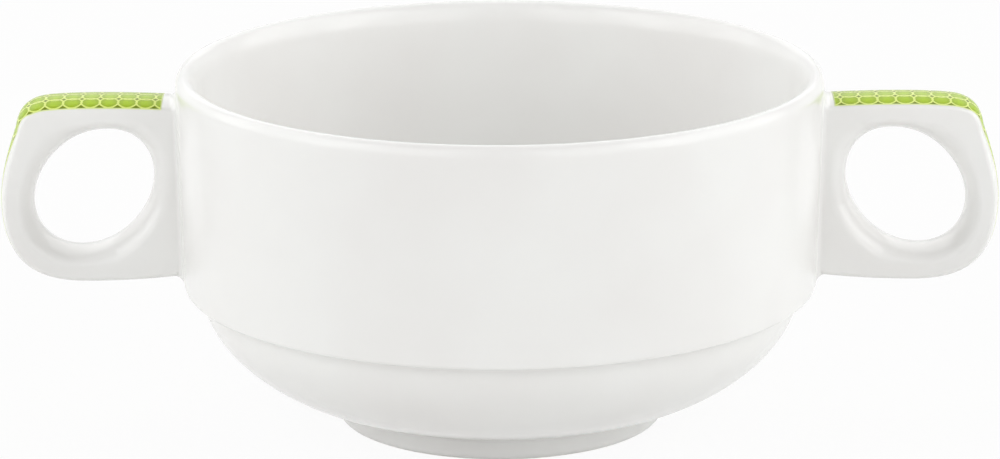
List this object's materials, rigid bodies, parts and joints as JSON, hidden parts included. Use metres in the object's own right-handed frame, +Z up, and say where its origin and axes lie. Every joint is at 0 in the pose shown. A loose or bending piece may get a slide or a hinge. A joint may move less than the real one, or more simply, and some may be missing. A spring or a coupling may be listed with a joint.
{
  "type": "cream soup cup",
  "caption": "Round white porcelain soup cup with a stacking step, a low foot ring and flat loop handles edged with a printed green band.",
  "frame": {"origin": "on the table, under the middle of the foot ring", "axes": "+Z up, +X from the left handle to the right handle, -Y towards the viewer"},
  "size_m": [0.1648, 0.106, 0.0587],
  "materials": {
    "porcelain": "clear gloss glaze",
    "slip": "clear gloss glaze",
    "printed_band": "glossy fired-on print"
  },
  "bodies": {
    "root": {"cup_body": "porcelain", "handle_left": "porcelain", "handle_right": "porcelain", "slip_seam_left": "slip", "slip_seam_right": "slip", "printed_band_left": "printed_band", "printed_band_right": "printed_band"}
  },
  "joints": []
}
